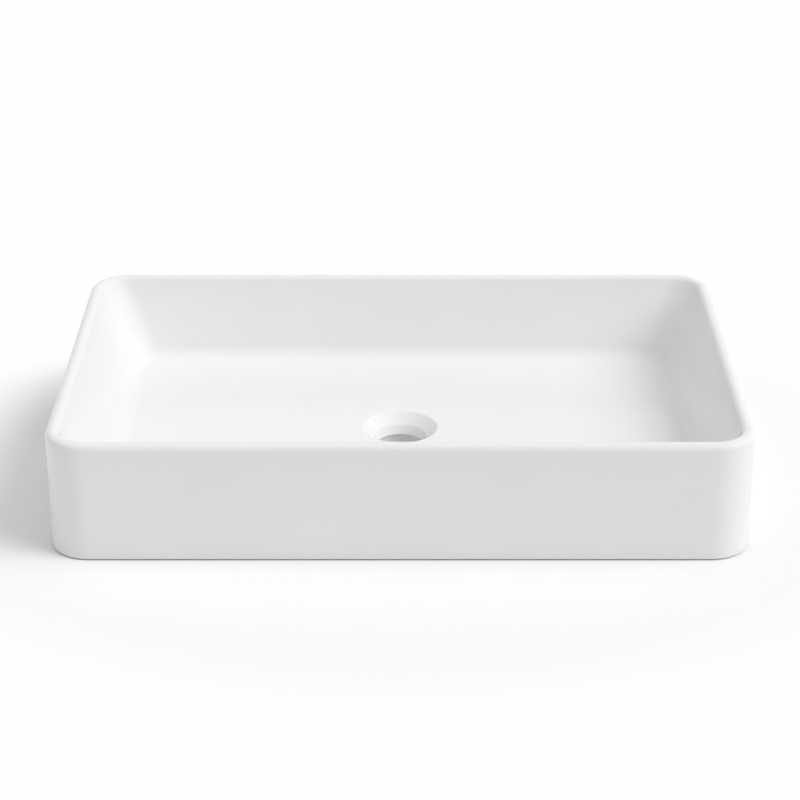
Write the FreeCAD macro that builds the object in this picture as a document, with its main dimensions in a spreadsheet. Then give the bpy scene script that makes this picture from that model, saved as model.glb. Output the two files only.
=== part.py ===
"""Countertop basin: one glazed ceramic casting on six non-slip pads, in millimetres, +Z up.

The origin is on the counter, under the middle of the basin. The outer walls are upright and the bowl's
walls lean, so the casting is hollow underneath: an outer skirt that ends in the foot ring, and the bowl
that hangs inside it, with a collar around the waste outlet.
"""
import FreeCAD
import Part
import Sketcher
import math
import os

SIZES = {
    # overall
    "overall_width": 610.0,
    "overall_depth": 400.0,
    "overall_height": 110.0,
    "corner_radius": 36.5,
    # rim and bowl
    "rim_band": 10.4,
    "rim_flat": 0.3,
    "rim_inner_round": 6.4,
    "wall_lean": 24.75,
    "bowl_corner": 28.7,
    "bowl_depth": 73.6,
    "floor_round": 20.0,
    "dish_depth": 2.2,
    # waste outlet: its levels are shares of the way from its lip down to the end of the collar
    "funnel_radius": 34.8,
    "funnel_lip_round": 3.0,
    "neck_radius": 24.5,
    "neck_share": 0.332,
    "neck_round": 3.0,
    "throat_radius": 21.0,
    "throat_share": 0.548,
    "throat_bevel": 0.6,
    "seat_share": 0.6575,
    "collar_radius": 24.5,
    "collar_wall": 11.5,
    "collar_bevel": 1.0,
    "collar_root": 3.0,
    "collar_clearance": 4.0,
    # hollow underside
    "skirt_thickness": 11.5,
    "shell_thickness": 10.0,
    "crown_width": 7.0,
    "crown_round": 3.0,
    "underside_round": 20.0,
    "foot_bevel": 1.0,
    # non-slip pads
    "pad_diameter": 6.0,
    "pad_height": 1.0,
    "pad_bevel": 0.3,
    "pad_corner_gap": 12.0,
}

# How near an edge has to lie to a level or a radius to be taken for it.
NEAR = 0.01

doc = FreeCAD.newDocument("countertop_basin")


def make_sheet():
    """Put the driving dimensions into the spreadsheet, one named cell each."""
    sheet = doc.addObject("Spreadsheet::Sheet", "Sizes")
    for row, (name, number) in enumerate(SIZES.items(), start=1):
        sheet.set(f"A{row}", name)
        sheet.set(f"B{row}", str(number))
        sheet.setAlias(f"B{row}", name)
    doc.recompute()
    return sheet


sheet = make_sheet()


def size(expression):
    """Value of an expression over the sheet, in millimetres."""
    result = sheet.evalExpression(expression)
    return float(getattr(result, "Value", result))


# Expressions that several features share. Insets are measured inwards from the outer wall.
HALF_WIDTH = "Sizes.overall_width / 2"
HALF_DEPTH = "Sizes.overall_depth / 2"
LEAN = "tan(Sizes.wall_lean * 1deg)"
FLOOR_LEVEL = "(Sizes.overall_height - Sizes.bowl_depth)"
LIP_LEVEL = f"({FLOOR_LEVEL} - Sizes.dish_depth)"
UNDER_LEVEL = f"({LIP_LEVEL} - Sizes.shell_thickness)"
SHELL_ACROSS = "Sizes.shell_thickness / cos(Sizes.wall_lean * 1deg)"
CROWN_INSET = "(Sizes.skirt_thickness + Sizes.crown_width)"
CROWN_LEVEL = f"(Sizes.overall_height - ({CROWN_INSET} + {SHELL_ACROSS} - Sizes.rim_band) / {LEAN})"
RIM_INNER_REACH = "Sizes.rim_inner_round * tan((90 - Sizes.wall_lean) / 2 * 1deg)"
RIM_OUTER_ROUND = f"(Sizes.rim_band - Sizes.rim_flat - {RIM_INNER_REACH})"
COLLAR_LEVEL = "(Sizes.pad_height + Sizes.collar_clearance)"
COLLAR_OUTSIDE = "(Sizes.collar_radius + Sizes.collar_wall)"


def outlet_level(share):
    """Level at a share of the way from the outlet's lip down to the end of the collar."""
    return f"({LIP_LEVEL} - {share} * ({LIP_LEVEL} - {COLLAR_LEVEL}))"


NECK_LEVEL = outlet_level("Sizes.neck_share")
THROAT_LEVEL = outlet_level("Sizes.throat_share")
SEAT_LEVEL = outlet_level("Sizes.seat_share")


def bowl_inset(level):
    """Inset of the bowl's wall at a level, along its lean from the rim band down."""
    return f"(Sizes.rim_band + (Sizes.overall_height - {level}) * {LEAN})"


def shell_inset(level):
    """Inset of the underside of the bowl's wall, one shell thickness outside its face."""
    return f"({bowl_inset(level)} - {SHELL_ACROSS})"


def new_body(name):
    body = doc.addObject("PartDesign::Body", name)
    body.Label = name
    return body


def new_sketch(body, name, role, level=None):
    """Sketch on one of the body's own origin planes, lifted to a level if one is given."""
    sketch = body.newObject("Sketcher::SketchObject", name)
    plane = next(feature for feature in body.Origin.OriginFeatures if feature.Role == role)
    sketch.AttachmentSupport = (plane, [""])
    sketch.MapMode = "FlatFace"
    if level is not None:
        sketch.setExpression("AttachmentOffset.Base.z", level)
    return sketch


def drive(sketch, name, expression, *constraint):
    """Add a dimension to a sketch, name it and bind it to the sheet."""
    index = sketch.addConstraint(Sketcher.Constraint(*constraint, size(expression)))
    sketch.renameConstraint(index, name)
    sketch.setExpression(f"Constraints.{name}", expression)


def rectangle_sketch(body, name, level, inset):
    """Horizontal rectangle, moved in from the outer walls by an inset."""
    sketch = new_sketch(body, name, "XY_Plane", level)
    reach_x = size(f"{HALF_WIDTH} - {inset}")
    reach_y = size(f"{HALF_DEPTH} - {inset}")
    corners = [FreeCAD.Vector(sign_x * reach_x, sign_y * reach_y, 0)
               for sign_x, sign_y in ((-1, -1), (1, -1), (1, 1), (-1, 1))]
    for start, end in zip(corners, corners[1:] + corners[:1]):
        sketch.addGeometry(Part.LineSegment(start, end))
    for side in range(4):
        sketch.addConstraint(Sketcher.Constraint("Coincident", side, 2, (side + 1) % 4, 1))
        sketch.addConstraint(Sketcher.Constraint(("Horizontal", "Vertical")[side % 2], side))
    front, right, back, left = range(4)
    drive(sketch, "to_front", f"{HALF_DEPTH} - {inset}", "DistanceY", front, 1, -1, 1)
    drive(sketch, "to_right", f"{HALF_WIDTH} - {inset}", "DistanceX", -1, 1, right, 1)
    drive(sketch, "to_back", f"{HALF_DEPTH} - {inset}", "DistanceY", -1, 1, back, 1)
    drive(sketch, "to_left", f"{HALF_WIDTH} - {inset}", "DistanceX", left, 1, -1, 1)
    return sketch


def profile_sketch(body, name, points):
    """Half section in the XZ plane, closed along the vertical axis; its points are radius and level."""
    sketch = new_sketch(body, name, "XZ_Plane")
    places = [FreeCAD.Vector(size(radius), size(level), 0) for radius, level in points]
    for start, end in zip(places, places[1:] + places[:1]):
        sketch.addGeometry(Part.LineSegment(start, end))
    count = len(points)
    for index, (radius, level) in enumerate(points):
        sketch.addConstraint(Sketcher.Constraint("Coincident", index, 2, (index + 1) % count, 1))
        if radius == "0":
            sketch.addConstraint(Sketcher.Constraint("PointOnObject", index, 1, -2))
        else:
            drive(sketch, f"radius_{index}", radius, "DistanceX", -1, 1, index, 1)
        drive(sketch, f"level_{index}", level, "DistanceY", -1, 1, index, 1)
    return sketch


def pad(body, name, sketch, length):
    feature = body.newObject("PartDesign::Pad", name)
    feature.Profile = sketch
    feature.setExpression("Length", length)
    doc.recompute()
    return feature


def lean_out(body, name, block, angle):
    """Lean the upright faces of a block outwards from its lower face."""
    numbered = enumerate(block.Shape.Faces, start=1)
    normals = {f"Face{number}": face.normalAt(0, 0) for number, face in numbered}
    feature = body.newObject("PartDesign::Draft", name)
    feature.Base = (block, [label for label, normal in normals.items() if abs(normal.z) < NEAR])
    feature.NeutralPlane = (block, [label for label, normal in normals.items() if normal.z < NEAR - 1])
    feature.setExpression("Angle", angle)
    feature.Reversed = True
    doc.recompute()
    return feature


def turn(body, kind, name, sketch):
    """Full turn of a half section about the vertical axis: a Revolution adds, a Groove cuts."""
    feature = body.newObject(f"PartDesign::{kind}", name)
    feature.Profile = sketch
    feature.ReferenceAxis = (sketch, ["V_Axis"])
    feature.Angle = 360
    doc.recompute()
    return feature


def cut_with(body, name, tool):
    feature = body.newObject("PartDesign::Boolean", name)
    feature.setObjects([tool])
    feature.Type = "Cut"
    doc.recompute()
    return feature


def soften(body, kind, name, extent, test):
    """Fillet or chamfer of every edge of the body that passes the test on its middle point."""
    base = body.Tip
    edges = base.Shape.Edges
    chosen = [f"Edge{number}" for number, edge in enumerate(edges, start=1) if test(edge, middle(edge))]
    feature = body.newObject(f"PartDesign::{kind}", name)
    feature.Base = (base, chosen)
    feature.setExpression("Radius" if kind == "Fillet" else "Size", extent)
    doc.recompute()
    return feature


def middle(edge):
    return edge.valueAt((edge.FirstParameter + edge.LastParameter) / 2)


def at_level(edge, level):
    """Whether both ends and the middle of an edge lie at one level."""
    points = [vertex.Point for vertex in edge.Vertexes] + [middle(edge)]
    return all(abs(point.z - size(level)) < NEAR for point in points)


def rises(edge):
    """Whether one end of an edge is higher than the other."""
    return abs(edge.Vertexes[0].Z - edge.Vertexes[-1].Z) > NEAR


def is_ring(edge, radius, level):
    """Whether an edge is the circle of this radius about the vertical axis at this level."""
    point = middle(edge)
    return at_level(edge, level) and abs(math.hypot(point.x, point.y) - size(radius)) < NEAR


def on_outer_wall(point):
    """Whether a point lies on the straight sides or round corners of the outer wall."""
    corner = size("Sizes.corner_radius")
    over_x = max(abs(point.x) - size(HALF_WIDTH) + corner, 0)
    over_y = max(abs(point.y) - size(HALF_DEPTH) + corner, 0)
    return abs(math.hypot(over_x, over_y) - corner) < NEAR


def upright_block(body, name, level, inset, height):
    """Block with upright walls and rounded corners, moved in from the outer walls by an inset."""
    pad(body, name, rectangle_sketch(body, f"{name}_foot", level, inset), height)
    soften(body, "Fillet", f"{name}_corners", f"Sizes.corner_radius - {inset}",
           lambda edge, point: rises(edge))


def leaning_block(name, low, high, inset, corner, foot_round):
    """Body of a block with leaning walls, given its levels, the inset of its foot and its roundings."""
    body = new_body(name)
    block = pad(body, "block", rectangle_sketch(body, "block_foot", low, inset), f"{high} - {low}")
    lean_out(body, "lean", block, "Sizes.wall_lean * 1deg")
    soften(body, "Fillet", "corners", corner, lambda edge, point: rises(edge))
    soften(body, "Fillet", "foot_rounding", foot_round, lambda edge, point: at_level(edge, low))
    return body


def make_bowl_space():
    """The space inside the bowl, with its dished floor, and the waste outlet down through the collar."""
    body = leaning_block("bowl_space", FLOOR_LEVEL, "Sizes.overall_height", bowl_inset(FLOOR_LEVEL),
                         "Sizes.bowl_corner", "Sizes.floor_round")
    dish_radius = f"{HALF_DEPTH} - {bowl_inset(FLOOR_LEVEL)} - Sizes.floor_round"
    outlet = profile_sketch(body, "outlet_section", [
        ("0", "Sizes.pad_height"),
        ("Sizes.collar_radius", "Sizes.pad_height"),
        ("Sizes.collar_radius", SEAT_LEVEL),
        ("Sizes.throat_radius", SEAT_LEVEL),
        ("Sizes.throat_radius", THROAT_LEVEL),
        ("Sizes.neck_radius", NECK_LEVEL),
        ("Sizes.funnel_radius", LIP_LEVEL),
        (dish_radius, FLOOR_LEVEL),
        ("0", FLOOR_LEVEL),
    ])
    turn(body, "Revolution", "outlet", outlet)
    soften(body, "Fillet", "funnel_lip", "Sizes.funnel_lip_round",
           lambda edge, point: is_ring(edge, "Sizes.funnel_radius", LIP_LEVEL))
    soften(body, "Fillet", "funnel_neck", "Sizes.neck_round",
           lambda edge, point: is_ring(edge, "Sizes.neck_radius", NECK_LEVEL))
    return body


def make_under_space():
    """The hollow under the casting: inside the skirt, outside the shell of the bowl, around the collar."""
    body = new_body("under_space")
    upright_block(body, "inside_skirt", "0", "Sizes.skirt_thickness", CROWN_LEVEL)
    shell = leaning_block("bowl_shell", UNDER_LEVEL, CROWN_LEVEL, shell_inset(UNDER_LEVEL),
                          "Sizes.bowl_corner + Sizes.shell_thickness", "Sizes.underside_round")
    cut_with(body, "around_bowl", shell)
    collar = profile_sketch(body, "collar_section", [
        ("0", COLLAR_LEVEL),
        (COLLAR_OUTSIDE, COLLAR_LEVEL),
        (COLLAR_OUTSIDE, LIP_LEVEL),
        ("0", LIP_LEVEL),
    ])
    turn(body, "Groove", "collar", collar)
    soften(body, "Chamfer", "collar_root", "Sizes.collar_root",
           lambda edge, point: is_ring(edge, COLLAR_OUTSIDE, UNDER_LEVEL))
    soften(body, "Fillet", "crown_rounding", "Sizes.crown_round",
           lambda edge, point: at_level(edge, CROWN_LEVEL))
    return body


def make_basin():
    """The ceramic casting: a block with rounded corners, opened by the bowl above and the hollow below."""
    body = new_body("basin_bowl")
    upright_block(body, "outside", "Sizes.pad_height", "0", "Sizes.overall_height - Sizes.pad_height")
    cut_with(body, "bowl", make_bowl_space())
    cut_with(body, "hollow", make_under_space())
    soften(body, "Fillet", "rim_inner_rounding", "Sizes.rim_inner_round",
           lambda edge, point: at_level(edge, "Sizes.overall_height") and not on_outer_wall(point))
    soften(body, "Fillet", "rim_outer_rounding", RIM_OUTER_ROUND,
           lambda edge, point: at_level(edge, "Sizes.overall_height") and on_outer_wall(point))
    soften(body, "Chamfer", "foot_bevel", "Sizes.foot_bevel",
           lambda edge, point: at_level(edge, "Sizes.pad_height"))
    soften(body, "Chamfer", "throat_bevel", "Sizes.throat_bevel",
           lambda edge, point: is_ring(edge, "Sizes.throat_radius", SEAT_LEVEL))
    soften(body, "Chamfer", "collar_bevel", "Sizes.collar_bevel",
           lambda edge, point: at_level(edge, COLLAR_LEVEL))
    return body


def make_pad(name, place_x, place_y):
    """One round pad between the counter and the foot ring, with its lower edge bevelled."""
    body = new_body(name)
    sketch = new_sketch(body, "face", "XY_Plane")
    centre = FreeCAD.Vector(0, 0, 0)
    circle = sketch.addGeometry(Part.Circle(centre, FreeCAD.Vector(0, 0, 1), size("Sizes.pad_diameter / 2")))
    sketch.addConstraint(Sketcher.Constraint("Coincident", circle, 3, -1, 1))
    drive(sketch, "diameter", "Sizes.pad_diameter", "Diameter", circle)
    pad(body, "disc", sketch, "Sizes.pad_height")
    soften(body, "Chamfer", "lower_edge", "Sizes.pad_bevel", lambda edge, point: at_level(edge, "0"))
    body.setExpression("Placement.Base.x", place_x)
    body.setExpression("Placement.Base.y", place_y)
    return body


def make_pads():
    """Three pads under the front of the foot ring and three under the back."""
    to_end = f"({HALF_WIDTH} - Sizes.corner_radius - Sizes.pad_corner_gap)"
    to_ring = f"({HALF_DEPTH} - Sizes.skirt_thickness / 2)"
    pads = []
    for row, sign_y in (("front", "-1"), ("back", "1")):
        for column, sign_x in (("left", "-1"), ("middle", "0"), ("right", "1")):
            pads.append(make_pad(f"pad_{row}_{column}", f"{sign_x} * {to_end}", f"{sign_y} * {to_ring}"))
    return pads


def check_document():
    """Stop if any object of the document failed to build."""
    doc.recompute()
    for item in doc.Objects:
        if "Invalid" in item.State or "Error" in item.State:
            raise RuntimeError(f"{item.Label} failed: {item.State}")


def export(sub_parts):
    """Write each sub-part to its own file, after checking that it is one valid solid."""
    for part in sub_parts:
        shape = part.Shape
        if shape.isNull() or not shape.isValid() or len(shape.Solids) != 1:
            raise RuntimeError(f"{part.Label} isn't one valid solid")
    os.makedirs("parts", exist_ok=True)
    for part in sub_parts:
        part.Shape.exportStep(os.path.join("parts", f"{part.Label}.step"))
        print(part.Label, round(part.Shape.Volume), "mm3")


sub_parts = [make_basin()] + make_pads()
check_document()
export(sub_parts)
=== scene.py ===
"""Countertop basin in white glazed ceramic on a pale table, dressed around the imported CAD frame, in metres.

The casting is lofted from one closed section for each station around its outline: up the outer wall, over
the rim, down the leaning wall, along the floor into the outlet, and back under the bowl and down inside the
skirt.
"""
import bpy
import math
from mathutils import Matrix, Vector, noise


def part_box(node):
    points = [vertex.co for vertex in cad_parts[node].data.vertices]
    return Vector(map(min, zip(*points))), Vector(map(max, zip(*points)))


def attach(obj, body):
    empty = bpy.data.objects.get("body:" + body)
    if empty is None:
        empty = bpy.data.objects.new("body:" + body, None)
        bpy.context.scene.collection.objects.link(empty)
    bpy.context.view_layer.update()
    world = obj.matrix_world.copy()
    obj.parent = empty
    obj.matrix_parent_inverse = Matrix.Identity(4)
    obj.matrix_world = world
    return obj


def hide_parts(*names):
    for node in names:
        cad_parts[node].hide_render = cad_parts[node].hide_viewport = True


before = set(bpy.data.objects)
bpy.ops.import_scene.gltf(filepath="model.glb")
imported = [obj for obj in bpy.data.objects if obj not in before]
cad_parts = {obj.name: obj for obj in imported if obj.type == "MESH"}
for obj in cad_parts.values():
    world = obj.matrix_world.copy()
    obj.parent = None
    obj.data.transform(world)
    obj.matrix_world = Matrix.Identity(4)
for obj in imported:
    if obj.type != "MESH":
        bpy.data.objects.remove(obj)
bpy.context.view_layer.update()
CASTING_LOW, CASTING_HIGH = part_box("basin_bowl")
PADS = sorted(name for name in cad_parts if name.startswith("pad_"))
FRAME_PIXELS = 800

bl_info = {
    "name": "Countertop Basin",
    "version": (1, 0, 0),
    "blender": (4, 5, 0),
    "location": "View3D > Sidebar > Basin",
    "description": "Builds a glazed countertop basin, its non-slip pads and the table that it is shown on",
    "category": "Object",
}

UP = Vector((0, 0, 1))
# Steps of the casting's mesh, around its outline and along the roundings and straight runs of its section.
LONG_SIDE_STEPS = 44
SHORT_SIDE_STEPS = 30
CORNER_STEPS = 20
SMALL_ARC_STEPS = 7
LARGE_ARC_STEPS = 16
WALL_STEPS = 12
FLOOR_STEPS = 8
DISH_STEPS = 7
SOFTENING_PASSES = 6
# Edges that turn further than this stay crisp.
SHARP_TURN = math.radians(32)
# Levels of the outlet's profile that are closer than this count as one.
LEVEL_TOLERANCE = 1e-6
# Depth of the glaze: 0 is drawn thin off an edge and 1 is pooled in a hollow.
DRAWN_OFF_RIM = 0.1
DRAWN_OFF_FOOT = 0.2
DRAWN_OFF_OUTLET = 0.35
EVEN_GLAZE = 0.5
FLOOR_GLAZE = 0.6
POOLED_GLAZE = 0.9
# The firing warp is the same each run, starts above the foot and around the outlet, and grows from there.
WARP_SEED = 7
WARP_SCALE = 6.0
TRUE_FOOT_HEIGHT = 0.004
FULL_WARP_HEIGHT = 0.03
TRUE_OUTLET_RADIUS = 0.045
WARP_GROWTH_WIDTH = 0.06
# Each surface drifts between its colour and this share of it, and over this range of roughness.
GLAZE_DRIFT = 0.985
GLAZE_ROUGHNESS_SPREAD = 0.04
BARE_DRIFT = 0.93
BARE_ROUGHNESS = (0.6, 0.78)
PAD_DRIFT = 0.86
PAD_ROUGHNESS = (0.5, 0.65)
# Share of bare ceramic that shows in a pinhole.
PINHOLE_SHARE = 0.35
# The table fades to a painted white between two distances, which count more in depth and from a middle in
# front of the basin's, so the painted white lightens the basin's shadow soonest behind it.
FADE_START = 0.375
FADE_END = 0.54
FADE_SHIFT = (0, 0.065, 0)
FADE_SCALE = (1, 1.3, 1)
FADED_SHARE = 0.95
TABLE_REACH = 6.0


def length(name, default, description):
    return bpy.props.FloatProperty(name=name, description=description, default=default, min=0.0, precision=4,
                                   unit="LENGTH")


def angle(name, degrees, description):
    return bpy.props.FloatProperty(name=name, description=description, default=math.radians(degrees),
                                   min=0.0, max=math.radians(89), subtype="ANGLE")


def colour(name, default, description):
    return bpy.props.FloatVectorProperty(name=name, description=description, default=default, size=3,
                                         min=0.0, max=1.0, subtype="COLOR")


def share(name, default, description):
    return bpy.props.FloatProperty(name=name, description=description, default=default, min=0.0, max=1.0,
                                   subtype="FACTOR")


def strength(name, default, description):
    return bpy.props.FloatProperty(name=name, description=description, default=default, min=0.0)


def heading(name, default, description):
    return bpy.props.FloatVectorProperty(name=name, description=description, default=default, size=3,
                                         subtype="DIRECTION")


class BasinSizes(bpy.types.PropertyGroup):
    """Sizes of the casting that its box doesn't give."""

    corner_radius: length("Outer corner", 0.0365, "Radius of the upright outer corners")
    rim_band: length("Rim band", 0.0104, "Width of the rim between the outer wall and the bowl's wall")
    rim_outer_round: length("Outer rim rounding", 0.0060, "Radius of the rim's outer edge")
    rim_inner_round: length("Inner rim rounding", 0.0064, "Radius of the rim's inner edge")
    wall_lean: angle("Wall lean", 24.75, "Lean of the bowl's walls from upright")
    bowl_depth: length("Bowl depth", 0.0736, "From the rim down to the flat of the floor")
    floor_round: length("Floor rounding", 0.020, "Radius between the bowl's walls and its floor")
    dish_depth: length("Dish depth", 0.0022, "How far the floor falls to the outlet")
    funnel_radius: length("Funnel radius", 0.0348, "Radius where the floor turns down into the outlet")
    funnel_angle: angle("Funnel angle", 43.3, "Slope of the outlet's funnel")
    funnel_lip_round: length("Funnel lip", 0.003, "Radius of the funnel's upper edge")
    neck_radius: length("Neck radius", 0.0245, "Radius where the funnel turns down into the neck")
    neck_round: length("Neck rounding", 0.003, "Radius of the neck's upper edge")
    throat_radius: length("Throat radius", 0.021, "Radius of the waste hole")
    throat_length: length("Throat length", 0.0020, "Length of the upright wall of the waste hole")
    throat_edge_round: length("Throat edge", 0.0012, "Radius of the lower edge of the waste hole")
    outlet_thickness: length("Outlet thickness", 0.0192, "From the outlet's lip to the waste hole's end")
    collar_radius: length("Collar radius", 0.0245, "Inner radius of the collar below the waste hole")
    collar_length: length("Collar length", 0.010, "From the end of the waste hole to the end of the collar")
    collar_round: length("Collar rounding", 0.001, "Radius of the collar's lower edges")
    skirt_thickness: length("Skirt thickness", 0.0115, "Thickness of the outer wall at the foot")
    shell_thickness: length("Shell thickness", 0.010, "Thickness of the bowl's walls and floor")
    crown_width: length("Crown width", 0.007, "Width of the top of the hollow between skirt and bowl")
    crown_round: length("Crown rounding", 0.003, "Radius at the top of the hollow")
    underside_round: length("Underside rounding", 0.020, "Radius under the bowl between its floor and walls")
    collar_wall: length("Collar wall", 0.0115, "Thickness of the collar")
    collar_root: length("Collar root", 0.003, "Radius between the collar and the underside of the floor")
    foot_round: length("Foot rounding", 0.001, "Radius of the outer edge of the foot")
    foot_bevel: length("Foot bevel", 0.001, "Bevel of the inner edge of the foot")
    warp: length("Firing warp", 0.00025, "How far the casting wanders from true in the kiln")


class BasinFinish(bpy.types.PropertyGroup):
    """Colours and surface of the basin."""

    glaze: colour("Glaze", (0.85, 0.85, 0.85), "Colour of the glazed ceramic")
    thin_glaze: colour("Thin glaze", (0.82, 0.82, 0.82), "Colour where the glaze draws thin over an edge")
    bare: colour("Bare ceramic", (0.70, 0.68, 0.64), "Colour of the unglazed underside and foot")
    pad: colour("Pad", (0.42, 0.43, 0.44), "Colour of the rubber pads")
    gloss: share("Glaze roughness", 0.08, "Roughness of the glaze's surface")


class BasinStage(bpy.types.PropertyGroup):
    """Table, light and camera."""

    table: colour("Table", (0.91, 0.91, 0.91), "Colour of the table")
    even_light: strength("Even light", 0.35, "Strength of the light from all round")
    key_light: strength("Key light", 1.86, "Strength of the broad light on the right")
    key_heading: heading("Key heading", (0.678, -0.200, 0.707), "Direction of the key light from the basin")
    key_width: angle("Key width", 40, "How wide the key light looks from the basin")
    core_light: strength("Key core", 0.08, "Strength of the key light's middle, which the glaze mirrors")
    core_width: angle("Core width", 9, "How wide the bright middle looks from the basin")
    top_light: strength("Top light", 0.45, "Strength of the broad light overhead")
    top_heading: heading("Top heading", (0.174, 0.0, 0.985), "Direction of the top light from the basin")
    top_width: angle("Top width", 60, "How wide the top light looks from the basin")
    side_light: strength("Side light", 0.45, "Strength of the weak broad light on the left")
    side_heading: heading("Side heading", (-0.766, 0.0, 0.643), "Direction of the side light from the basin")
    side_width: angle("Side width", 60, "How wide the side light looks from the basin")
    camera_place: bpy.props.FloatVectorProperty(name="Camera", description="Place of the camera",
                                                default=(-0.0002, -1.96605, 0.95730), size=3,
                                                subtype="TRANSLATION", unit="LENGTH")
    camera_pitch: angle("Camera pitch", 24.5, "How far the camera looks down")
    focal_pixels: strength("Focal length", 2320.7, "Focal length in pixels of the frame")


class Station:
    """One place on the casting's outline: a share of a straight side, or an angle of a round corner."""

    def __init__(self, quarter, share_along=None, corner_angle=None):
        self.turn = Matrix.Rotation(math.pi / 2 * quarter, 3, "Z")
        self.swapped = quarter % 2
        self.share_along = share_along
        self.corner_angle = corner_angle
        facing = Vector((0, -1, 0))
        if corner_angle is not None:
            facing = Vector((math.cos(corner_angle), math.sin(corner_angle), 0))
        self.out = self.turn @ facing
        # A round corner moves in along both sides at once, so its wall leans further than a straight one.
        self.lean_gain = abs(self.out.x) + abs(self.out.y)

    def at(self, inset, corner, level):
        """Point of the outline that is moved in by the inset and has this corner radius."""
        halves = [CASTING_HIGH.x - inset, CASTING_HIGH.y - inset]
        along = halves[self.swapped] - corner
        across = halves[1 - self.swapped]
        if self.corner_angle is None:
            place = Vector((along * (2 * self.share_along - 1), -across, 0))
        else:
            place = Vector((along, corner - across, 0)) + corner * Vector(
                (math.cos(self.corner_angle), math.sin(self.corner_angle), 0))
        return self.turn @ place + level * UP


def outline_stations():
    """Stations all the way round, anticlockwise from the left end of the front."""
    stations = []
    for quarter in range(4):
        steps = (LONG_SIDE_STEPS, SHORT_SIDE_STEPS)[quarter % 2]
        stations += [Station(quarter, share_along=step / steps) for step in range(steps)]
        stations += [Station(quarter, corner_angle=math.pi / 2 * (step / CORNER_STEPS - 1))
                     for step in range(CORNER_STEPS)]
    return stations


def arc(centre, radius, start, end, steps=SMALL_ARC_STEPS):
    """Points on a rounding, turned about its centre from one direction to another."""
    return [centre + radius * start.slerp(end, step / steps) for step in range(steps + 1)]


def run(start, end, steps):
    """Points between two places, without the places themselves."""
    return [start.lerp(end, step / steps) for step in range(1, steps)]


def rounded_profile(corners):
    """Profile of radius and level with its corners rounded; each corner gives its place and radius."""
    points = []
    for index, (place, radius) in enumerate(corners):
        if not radius:
            points.append(Vector(place))
            continue
        here = Vector(place)
        back = (Vector(corners[index - 1][0]) - here).normalized()
        ahead = (Vector(corners[index + 1][0]) - here).normalized()
        half = back.angle(ahead) / 2
        centre = here + (back + ahead).normalized() * radius / math.sin(half)
        first = here + back * radius / math.tan(half)
        last = here + ahead * radius / math.tan(half)
        points += arc(centre, radius, (first - centre).normalized(), (last - centre).normalized())
    return points


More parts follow.
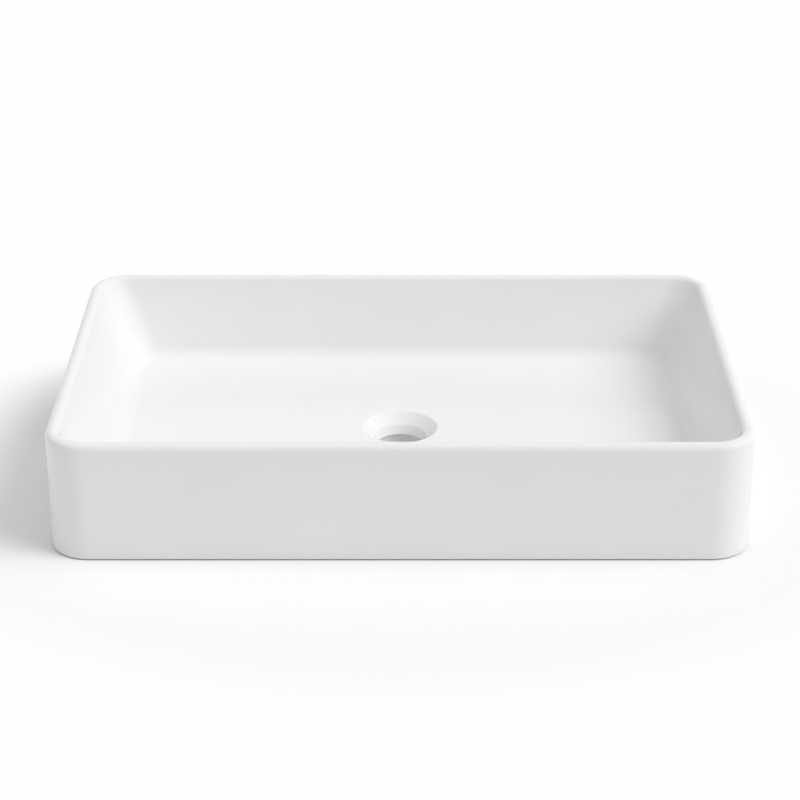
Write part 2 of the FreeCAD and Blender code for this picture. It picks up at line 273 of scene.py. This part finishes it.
class CastingForm:
    """Works out the casting's section at any station of its outline."""

    def __init__(self, sizes):
        self.sizes = sizes
        self.top = CASTING_HIGH.z
        self.foot = CASTING_LOW.z
        self.floor = self.top - sizes.bowl_depth
        self.lip = self.floor - sizes.dish_depth
        self.under = self.lip - sizes.shell_thickness
        self.seat = self.lip - sizes.outlet_thickness
        self.collar_end = self.seat - sizes.collar_length
        self.lean = math.tan(sizes.wall_lean)
        self.mouth_corner = sizes.corner_radius - sizes.rim_band
        self.shell_across = sizes.shell_thickness / math.cos(sizes.wall_lean)
        crown_inset = sizes.skirt_thickness + sizes.crown_width
        self.crown = self.top - (crown_inset + self.shell_across - sizes.rim_band) / self.lean
        self.outlet = self.outlet_profile()

    def outlet_profile(self):
        """Radius and level from the dish down through the outlet and its collar, and up outside it."""
        sizes = self.sizes
        neck_level = self.lip - (sizes.funnel_radius - sizes.neck_radius) * math.tan(sizes.funnel_angle)
        throat = sizes.throat_radius
        collar = sizes.collar_radius
        outside = collar + sizes.collar_wall
        foot_inset = sizes.rim_band + sizes.bowl_depth * self.lean
        dish_edge = Vector((CASTING_HIGH.y - foot_inset - sizes.floor_round, self.floor))
        lip_edge = Vector((sizes.funnel_radius, self.lip))
        dish = [(dish_edge.lerp(lip_edge, step / DISH_STEPS), 0) for step in range(DISH_STEPS)]
        return rounded_profile(dish + [
            (lip_edge, sizes.funnel_lip_round),
            ((sizes.neck_radius, neck_level), sizes.neck_round),
            ((throat, self.seat + sizes.throat_length), 2 * sizes.throat_edge_round),
            ((throat, self.seat), sizes.throat_edge_round),
            ((collar, self.seat), sizes.collar_round),
            ((collar, self.collar_end), sizes.collar_round),
            ((outside, self.collar_end), sizes.collar_round),
            ((outside, self.under), sizes.collar_root),
            ((outside + 2 * sizes.collar_root, self.under), 0),
        ])

    def wall(self, station, level):
        """Point of the bowl's leaning wall."""
        inset = self.sizes.rim_band + (self.top - level) * self.lean
        return station.at(inset, self.mouth_corner, level)

    def shell(self, station, level):
        """Point under the bowl's wall, one shell thickness outside it."""
        inset = self.sizes.rim_band + (self.top - level) * self.lean - self.shell_across
        return station.at(inset, self.mouth_corner + self.sizes.shell_thickness, level)

    def skirt(self, station, inset, level):
        """Point of an outline that runs level with the outer wall."""
        return station.at(inset, self.sizes.corner_radius - inset, level)

    def section(self, station):
        """Closed section at a station: runs of points, each with its glaze depth and if it is glazed."""
        sizes = self.sizes
        out = station.out
        lean = math.atan(self.lean * station.lean_gain)
        wall_out = math.sin(lean) * UP - math.cos(lean) * out
        outer = sizes.rim_outer_round
        inner = sizes.rim_inner_round
        foot_edge = self.skirt(station, sizes.foot_round, self.foot + sizes.foot_round)
        rim_edge = self.skirt(station, outer, self.top - outer)
        outer_low = self.skirt(station, 0, self.foot + sizes.foot_round)
        outer_high = self.skirt(station, 0, self.top - outer)
        wall_high = self.wall(station, self.top - inner * (1 - math.sin(lean)))
        wall_low = self.wall(station, self.floor + sizes.floor_round * (1 - math.sin(lean)))
        floor_centre = wall_low + sizes.floor_round * wall_out
        floor_start = floor_centre - sizes.floor_round * UP
        away = Vector((floor_start.x, floor_start.y, 0)).normalized()
        outlet = [away * radius + level * UP for radius, level in self.outlet]
        under_round = sizes.underside_round
        shell_low = self.shell(station, self.under + under_round * (1 - math.sin(lean)))
        under_centre = shell_low + under_round * wall_out
        crown_round = sizes.crown_round
        shell_high = self.shell(station, self.crown - crown_round * (1 - math.sin(lean)))
        crown_edge = self.skirt(station, sizes.skirt_thickness + crown_round, self.crown - crown_round)
        skirt_high = self.skirt(station, sizes.skirt_thickness, self.crown - crown_round)
        skirt_low = self.skirt(station, sizes.skirt_thickness, self.foot + sizes.foot_bevel)
        bevel_end = self.skirt(station, sizes.skirt_thickness - sizes.foot_bevel, self.foot)
        bare_start = self.outlet_bare_start()
        return [
            (arc(foot_edge, sizes.foot_round, -UP, out), DRAWN_OFF_FOOT, True),
            (run(outer_low, outer_high, WALL_STEPS), EVEN_GLAZE, True),
            (arc(rim_edge, outer, out, UP), DRAWN_OFF_RIM, True),
            (arc(wall_high - inner * wall_out, inner, UP, wall_out), DRAWN_OFF_RIM, True),
            (run(wall_high, wall_low, WALL_STEPS), EVEN_GLAZE, True),
            (arc(floor_centre, sizes.floor_round, -wall_out, -UP, LARGE_ARC_STEPS), POOLED_GLAZE, True),
            (run(floor_start, outlet[0], FLOOR_STEPS), FLOOR_GLAZE, True),
            (outlet[:bare_start], DRAWN_OFF_OUTLET, True),
            (outlet[bare_start:], EVEN_GLAZE, False),
            (run(outlet[-1], under_centre - under_round * UP, FLOOR_STEPS), EVEN_GLAZE, False),
            (arc(under_centre, under_round, -UP, -wall_out, LARGE_ARC_STEPS), EVEN_GLAZE, False),
            (run(shell_low, shell_high, WALL_STEPS), EVEN_GLAZE, False),
            (arc(shell_high - crown_round * wall_out, crown_round, wall_out, UP), EVEN_GLAZE, False),
            (arc(crown_edge, crown_round, UP, out), EVEN_GLAZE, False),
            (run(skirt_high, skirt_low, WALL_STEPS), EVEN_GLAZE, False),
            ([skirt_low, bevel_end], EVEN_GLAZE, False),
        ]

    def outlet_bare_start(self):
        """First point of the outlet's profile that lies on the lower face of the collar."""
        return next(index for index, (_, level) in enumerate(self.outlet)
                    if level < self.collar_end + LEVEL_TOLERANCE)


def soften_ring(values):
    """Even out a ring of values, each with its two neighbours."""
    for _ in range(SOFTENING_PASSES):
        values = [(values[index - 1] + 2 * value + values[(index + 1) % len(values)]) / 4
                  for index, value in enumerate(values)]
    return values


def warped(point, amount):
    """Point moved by the slow wander of a fired casting, which leaves the foot and the outlet true."""
    height = point.z - CASTING_LOW.z
    if height < TRUE_FOOT_HEIGHT:
        return point
    beyond_outlet = max(0.0, math.hypot(point.x, point.y) - TRUE_OUTLET_RADIUS)
    free = min(1.0, height / FULL_WARP_HEIGHT) * min(1.0, beyond_outlet / WARP_GROWTH_WIDTH)
    return point + amount * free * noise.noise_vector(point * WARP_SCALE)


def casting_mesh(sizes):
    """Closed mesh of the casting, with its glaze depth as an attribute and bare faces in the second slot."""
    form = CastingForm(sizes)
    noise.seed_set(WARP_SEED)
    places = []
    depths = []
    count = 0
    stations = outline_stations()
    for station in stations:
        runs = form.section(station)
        places += [warped(point, sizes.warp) for points, _, _ in runs for point in points]
        ring_depths = soften_ring([depth for points, depth, _ in runs for _ in points])
        depths += ring_depths
        count = len(ring_depths)
        bare = [not glazed for points, _, glazed in runs for _ in points]
    faces = []
    slots = []
    for start in range(len(stations)):
        here = start * count
        following = (start + 1) % len(stations) * count
        for step in range(count):
            after = (step + 1) % count
            faces.append((here + step, following + step, following + after, here + after))
            slots.append(int(bare[step]))
    mesh = bpy.data.meshes.new("basin_casting")
    mesh.from_pydata(places, [], faces)
    mesh.polygons.foreach_set("use_smooth", [True] * len(faces))
    mesh.polygons.foreach_set("material_index", slots)
    mesh.set_sharp_from_angle(angle=SHARP_TURN)
    mesh.attributes.new("glaze_depth", "FLOAT", "POINT").data.foreach_set("value", depths)
    if mesh.validate(verbose=False):
        raise RuntimeError("the casting's mesh had faces that don't close")
    return mesh


class NodeBoard:
    """Short way to add and link the nodes of one tree."""

    def __init__(self, tree):
        self.tree = tree

    def add(self, kind, settings=None, **values):
        """Add a node, set its own settings and the constant values of its sockets by name."""
        node = self.tree.nodes.new(kind)
        for name, setting in (settings or {}).items():
            setattr(node, name, setting)
        for name, value in values.items():
            node.inputs[name.replace("_", " ")].default_value = value
        return node

    def link(self, source, target):
        self.tree.links.new(source, target)


def new_group(name, inputs, outputs):
    """Empty shader node group with float, vector or colour sockets; inputs carry their default."""
    tree = bpy.data.node_groups.new(name, "ShaderNodeTree")
    for socket, (kind, default) in inputs.items():
        made = tree.interface.new_socket(name=socket, in_out="INPUT", socket_type=kind)
        if default is not None:
            made.default_value = default
    for socket, kind in outputs.items():
        tree.interface.new_socket(name=socket, in_out="OUTPUT", socket_type=kind)
    board = NodeBoard(tree)
    return board, board.add("NodeGroupInput"), board.add("NodeGroupOutput")


def mottle_group():
    """Slow change between two colours, with a finer cloud in it."""
    board, given, result = new_group(
        "Mottle",
        {"Vector": ("NodeSocketVector", None), "First": ("NodeSocketColor", (1, 1, 1, 1)),
         "Second": ("NodeSocketColor", (1, 1, 1, 1)), "Scale": ("NodeSocketFloat", 10.0)},
        {"Color": "NodeSocketColor", "Mask": "NodeSocketFloat"})
    cloud = board.add("ShaderNodeTexNoise", Detail=4.0, Roughness=0.55)
    spread = board.add("ShaderNodeMapRange", From_Min=0.35, From_Max=0.65)
    mix = board.add("ShaderNodeMix", {"data_type": "RGBA"})
    board.link(given.outputs["Vector"], cloud.inputs["Vector"])
    board.link(given.outputs["Scale"], cloud.inputs["Scale"])
    board.link(cloud.outputs["Fac"], spread.inputs["Value"])
    board.link(spread.outputs["Result"], mix.inputs[0])
    board.link(given.outputs["First"], mix.inputs[6])
    board.link(given.outputs["Second"], mix.inputs[7])
    board.link(mix.outputs[2], result.inputs["Color"])
    board.link(spread.outputs["Result"], result.inputs["Mask"])
    return board.tree


def skin_group():
    """Height of a surface in metres: long waves, fine peel and a few tiny pits, and the pits' own mask."""
    board, given, result = new_group(
        "Skin",
        {"Vector": ("NodeSocketVector", None), "Wave Scale": ("NodeSocketFloat", 20.0),
         "Wave Height": ("NodeSocketFloat", 0.0), "Peel Scale": ("NodeSocketFloat", 200.0),
         "Peel Height": ("NodeSocketFloat", 0.0), "Pit Scale": ("NodeSocketFloat", 60.0),
         "Pit Size": ("NodeSocketFloat", 0.02), "Pit Share": ("NodeSocketFloat", 0.05),
         "Pit Depth": ("NodeSocketFloat", 0.0)},
        {"Height": "NodeSocketFloat", "Pits": "NodeSocketFloat"})
    heights = []
    for label, detail in (("Wave", 1.0), ("Peel", 2.0)):
        cloud = board.add("ShaderNodeTexNoise", Detail=detail, Roughness=0.4)
        height = board.add("ShaderNodeMath", {"operation": "MULTIPLY"})
        board.link(given.outputs["Vector"], cloud.inputs["Vector"])
        board.link(given.outputs[f"{label} Scale"], cloud.inputs["Scale"])
        board.link(cloud.outputs["Fac"], height.inputs[0])
        board.link(given.outputs[f"{label} Height"], height.inputs[1])
        heights.append(height)
    cells = board.add("ShaderNodeTexVoronoi", {"feature": "F1"}, Randomness=1.0)
    chosen = board.add("ShaderNodeMath", {"operation": "LESS_THAN"})
    lot = board.add("ShaderNodeSeparateColor")
    near = board.add("ShaderNodeMapRange", {"interpolation_type": "SMOOTHSTEP"}, To_Min=1.0, To_Max=0.0)
    pits = board.add("ShaderNodeMath", {"operation": "MULTIPLY"})
    sunk = board.add("ShaderNodeMath", {"operation": "MULTIPLY"})
    board.link(given.outputs["Vector"], cells.inputs["Vector"])
    board.link(given.outputs["Pit Scale"], cells.inputs["Scale"])
    board.link(cells.outputs["Color"], lot.inputs["Color"])
    board.link(lot.outputs["Red"], chosen.inputs[0])
    board.link(given.outputs["Pit Share"], chosen.inputs[1])
    board.link(cells.outputs["Distance"], near.inputs["Value"])
    board.link(given.outputs["Pit Size"], near.inputs["From Max"])
    board.link(near.outputs["Result"], pits.inputs[0])
    board.link(chosen.outputs[0], pits.inputs[1])
    board.link(pits.outputs[0], sunk.inputs[0])
    board.link(given.outputs["Pit Depth"], sunk.inputs[1])
    level = board.add("ShaderNodeMath", {"operation": "ADD"})
    total = board.add("ShaderNodeMath", {"operation": "SUBTRACT"})
    board.link(heights[0].outputs[0], level.inputs[0])
    board.link(heights[1].outputs[0], level.inputs[1])
    board.link(level.outputs[0], total.inputs[0])
    board.link(sunk.outputs[0], total.inputs[1])
    board.link(total.outputs[0], result.inputs["Height"])
    board.link(pits.outputs[0], result.inputs["Pits"])
    return board.tree


def shared_group(name, build):
    return bpy.data.node_groups.get(name) or build()


def opaque(values):
    return (*values, 1.0)


def start_material(name):
    """Material with only a Principled shader, object coordinates and the two shared groups placed in it."""
    material = bpy.data.materials.new(name)
    material.use_nodes = True
    board = NodeBoard(material.node_tree)
    shader = material.node_tree.nodes["Principled BSDF"]
    place = board.add("ShaderNodeTexCoord")
    mottle = board.add("ShaderNodeGroup", {"node_tree": shared_group("Mottle", mottle_group)})
    skin = board.add("ShaderNodeGroup", {"node_tree": shared_group("Skin", skin_group)})
    bump = board.add("ShaderNodeBump", Strength=1.0, Distance=1.0)
    board.link(place.outputs["Object"], mottle.inputs["Vector"])
    board.link(place.outputs["Object"], skin.inputs["Vector"])
    board.link(skin.outputs["Height"], bump.inputs["Height"])
    board.link(bump.outputs["Normal"], shader.inputs["Normal"])
    return material, board, shader, mottle, skin


def set_values(node, values):
    for name, value in values.items():
        node.inputs[name].default_value = value


def tone_range(board, mask, low, high):
    """Map a mask to a range of values."""
    node = board.add("ShaderNodeMapRange", To_Min=low, To_Max=high)
    board.link(mask, node.inputs["Value"])
    return node.outputs["Result"]


def glaze_material(finish):
    """Deep white glaze: thinner over edges, with a faint peel and a rare pinhole."""
    material, board, shader, mottle, skin = start_material("white_glaze")
    glaze = Vector(finish.glaze)
    set_values(mottle, {"First": opaque(glaze), "Second": opaque(glaze * GLAZE_DRIFT), "Scale": 9.0})
    set_values(skin, {"Wave Scale": 16.0, "Wave Height": 0.00012, "Peel Scale": 190.0,
                      "Peel Height": 0.000006, "Pit Scale": 55.0, "Pit Size": 0.018, "Pit Share": 0.03,
                      "Pit Depth": 0.00006})
    depth = board.add("ShaderNodeAttribute", {"attribute_name": "glaze_depth"})
    thin = board.add("ShaderNodeMapRange", From_Min=0.45, From_Max=0.15, To_Min=0.0, To_Max=0.8)
    edge = board.add("ShaderNodeMix", {"data_type": "RGBA"})
    speck = board.add("ShaderNodeMix", {"data_type": "RGBA"})
    board.link(depth.outputs["Fac"], thin.inputs["Value"])
    board.link(thin.outputs["Result"], edge.inputs[0])
    board.link(mottle.outputs["Color"], edge.inputs[6])
    edge.inputs[7].default_value = opaque(finish.thin_glaze)
    board.link(tone_range(board, skin.outputs["Pits"], 0.0, PINHOLE_SHARE), speck.inputs[0])
    board.link(edge.outputs[2], speck.inputs[6])
    speck.inputs[7].default_value = opaque(finish.bare)
    board.link(speck.outputs[2], shader.inputs["Base Color"])
    roughest = finish.gloss + GLAZE_ROUGHNESS_SPREAD
    board.link(tone_range(board, mottle.outputs["Mask"], finish.gloss, roughest), shader.inputs["Roughness"])
    set_values(shader, {"IOR": 1.5})
    return material


def bare_material(finish):
    """Unglazed ceramic: matt, a little warm, with a fine grain and open pores."""
    material, board, shader, mottle, skin = start_material("bare_ceramic")
    bare = Vector(finish.bare)
    set_values(mottle, {"First": opaque(bare), "Second": opaque(bare * BARE_DRIFT), "Scale": 24.0})
    set_values(skin, {"Wave Scale": 40.0, "Wave Height": 0.0001, "Peel Scale": 900.0,
                      "Peel Height": 0.00003, "Pit Scale": 160.0, "Pit Size": 0.08, "Pit Share": 0.12,
                      "Pit Depth": 0.0002})
    board.link(mottle.outputs["Color"], shader.inputs["Base Color"])
    board.link(tone_range(board, mottle.outputs["Mask"], *BARE_ROUGHNESS), shader.inputs["Roughness"])
    return material


def pad_material(finish):
    """Soft moulded rubber, a little uneven and matt."""
    material, board, shader, mottle, skin = start_material("pad_rubber")
    pad = Vector(finish.pad)
    set_values(mottle, {"First": opaque(pad), "Second": opaque(pad * PAD_DRIFT), "Scale": 300.0})
    set_values(skin, {"Wave Scale": 300.0, "Wave Height": 0.00004, "Peel Scale": 3000.0,
                      "Peel Height": 0.00001, "Pit Scale": 900.0, "Pit Size": 0.1, "Pit Share": 0.05,
                      "Pit Depth": 0.00002})
    board.link(mottle.outputs["Color"], shader.inputs["Base Color"])
    board.link(tone_range(board, mottle.outputs["Mask"], *PAD_ROUGHNESS), shader.inputs["Roughness"])
    return material


def seen_ray(board):
    """Mask of the rays that show the background: seen directly, mirrored or through something clear."""
    path = board.add("ShaderNodeLightPath")
    seen = path.outputs["Is Camera Ray"]
    for other in ("Is Glossy Ray", "Is Transmission Ray"):
        either = board.add("ShaderNodeMath", {"operation": "MAXIMUM"})
        board.link(seen, either.inputs[0])
        board.link(path.outputs[other], either.inputs[1])
        seen = either.outputs[0]
    return seen


def table_material(stage):
    """Pale table that keeps the basin's shadow near it and fades to a painted white glow away from it, seen
    only by camera and mirror rays; the glow starts soonest behind the basin and lightens the far part of its
    shadow there.
    """
    material = bpy.data.materials.new("pale_table")
    material.use_nodes = True
    board = NodeBoard(material.node_tree)
    shader = material.node_tree.nodes["Principled BSDF"]
    set_values(shader, {"Base Color": opaque(stage.table), "Roughness": 0.65, "Specular IOR Level": 0.2})
    place = board.add("ShaderNodeTexCoord")
    spread = board.add("ShaderNodeMapping", Location=FADE_SHIFT, Scale=FADE_SCALE)
    reach = board.add("ShaderNodeVectorMath", {"operation": "LENGTH"})
    fade = board.add("ShaderNodeMapRange", {"interpolation_type": "SMOOTHSTEP"}, From_Min=FADE_START,
                     From_Max=FADE_END, To_Max=FADED_SHARE)
    # Painted white light, seen only by camera and mirror rays, that lightens the basin's shadow where the
    # fade reaches it.
    glow = board.add("ShaderNodeEmission", Strength=1.0)
    amount = board.add("ShaderNodeMath", {"operation": "MULTIPLY"})
    mix = board.add("ShaderNodeMixShader")
    board.link(place.outputs["Object"], spread.inputs["Vector"])
    board.link(spread.outputs["Vector"], reach.inputs[0])
    board.link(reach.outputs["Value"], fade.inputs["Value"])
    board.link(fade.outputs["Result"], amount.inputs[0])
    board.link(seen_ray(board), amount.inputs[1])
    board.link(amount.outputs[0], mix.inputs[0])
    board.link(shader.outputs[0], mix.inputs[1])
    board.link(glow.outputs[0], mix.inputs[2])
    board.link(mix.outputs[0], material.node_tree.nodes["Material Output"].inputs["Surface"])
    return material


def white_world(stage):
    """Even light from all round that is seen as plain white."""
    world = bpy.data.worlds.new("studio")
    world.use_nodes = True
    board = NodeBoard(world.node_tree)
    sky = world.node_tree.nodes["Background"]
    sky.inputs["Color"].default_value = (1, 1, 1, 1)
    board.link(tone_range(board, seen_ray(board), stage.even_light, 1.0), sky.inputs["Strength"])
    return world


def add_object(name, data):
    item = bpy.data.objects.new(name, data)
    bpy.context.scene.collection.objects.link(item)
    return item


def soft_light(name, power, heading_from_basin, width, mirrored=False):
    """Soft distant light from one direction, which glossy surfaces mirror or not."""
    lamp = bpy.data.lights.new(name, "SUN")
    lamp.energy = power
    lamp.angle = width
    item = add_object(name, lamp)
    item.rotation_euler = Vector(heading_from_basin).to_track_quat("Z", "Y").to_euler()
    item.visible_glossy = mirrored


class BASIN_OT_casting(bpy.types.Operator):
    """Build the glazed casting in place of its CAD solid"""

    bl_idname = "basin.casting"
    bl_label = "Basin Casting"
    bl_options = {"REGISTER", "UNDO"}

    def execute(self, context):
        scene = context.scene
        casting = add_object("basin_casting", casting_mesh(scene.basin_sizes))
        casting.data.materials.append(glaze_material(scene.basin_finish))
        casting.data.materials.append(bare_material(scene.basin_finish))
        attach(casting, "root")
        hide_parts("basin_bowl")
        return {"FINISHED"}


class BASIN_OT_pads(bpy.types.Operator):
    """Give the non-slip pads their rubber"""

    bl_idname = "basin.pads"
    bl_label = "Non-slip Pads"
    bl_options = {"REGISTER", "UNDO"}

    def execute(self, context):
        rubber = pad_material(context.scene.basin_finish)
        for name in PADS:
            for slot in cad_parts[name].material_slots:
                slot.material = rubber
        return {"FINISHED"}


class BASIN_OT_stage(bpy.types.Operator):
    """Set the table, the lights and the camera"""

    bl_idname = "basin.stage"
    bl_label = "Table, Light and Camera"
    bl_options = {"REGISTER", "UNDO"}

    def execute(self, context):
        scene = context.scene
        stage = scene.basin_stage
        mesh = bpy.data.meshes.new("table")
        corners = [(TABLE_REACH * x, TABLE_REACH * y, 0) for x, y in ((-1, -1), (1, -1), (1, 1), (-1, 1))]
        mesh.from_pydata(corners, [], [(0, 1, 2, 3)])
        mesh.materials.append(table_material(stage))
        add_object("table", mesh)
        soft_light("key_light", stage.key_light, stage.key_heading, stage.key_width)
        soft_light("key_core", stage.core_light, stage.key_heading, stage.core_width, mirrored=True)
        soft_light("top_light", stage.top_light, stage.top_heading, stage.top_width)
        soft_light("side_light", stage.side_light, stage.side_heading, stage.side_width)
        scene.world = white_world(stage)
        lens = bpy.data.cameras.new("camera")
        lens.lens = stage.focal_pixels * lens.sensor_width / FRAME_PIXELS
        camera = add_object("camera", lens)
        camera.location = stage.camera_place
        camera.rotation_euler = (math.pi / 2 - stage.camera_pitch, 0, 0)
        scene.camera = camera
        scene.view_settings.view_transform = "Standard"
        return {"FINISHED"}


OPERATORS = (BASIN_OT_casting, BASIN_OT_pads, BASIN_OT_stage)


class BASIN_PT_sidebar(bpy.types.Panel):
    """Sizes, finishes and stage of the basin, with the buttons that build them"""

    bl_label = "Countertop Basin"
    bl_idname = "BASIN_PT_sidebar"
    bl_space_type = "VIEW_3D"
    bl_region_type = "UI"
    bl_category = "Basin"

    def draw(self, context):
        for title, group in (("Sizes", context.scene.basin_sizes), ("Finish", context.scene.basin_finish),
                             ("Stage", context.scene.basin_stage)):
            box = self.layout.box()
            box.label(text=title)
            for name in type(group).__annotations__:
                box.prop(group, name)
        for operator in OPERATORS:
            self.layout.operator(operator.bl_idname)


GROUPS = {"basin_sizes": BasinSizes, "basin_finish": BasinFinish, "basin_stage": BasinStage}


def register():
    for group in GROUPS.values():
        bpy.utils.register_class(group)
    for operator in OPERATORS:
        bpy.utils.register_class(operator)
    bpy.utils.register_class(BASIN_PT_sidebar)
    for name, group in GROUPS.items():
        setattr(bpy.types.Scene, name, bpy.props.PointerProperty(type=group))


def unregister():
    for name in GROUPS:
        delattr(bpy.types.Scene, name)
    bpy.utils.unregister_class(BASIN_PT_sidebar)
    for operator in reversed(OPERATORS):
        bpy.utils.unregister_class(operator)
    for group in reversed(list(GROUPS.values())):
        bpy.utils.unregister_class(group)


def main():
    register()
    bpy.ops.basin.casting()
    bpy.ops.basin.pads()
    bpy.ops.basin.stage()


if __name__ == "__main__":
    main()
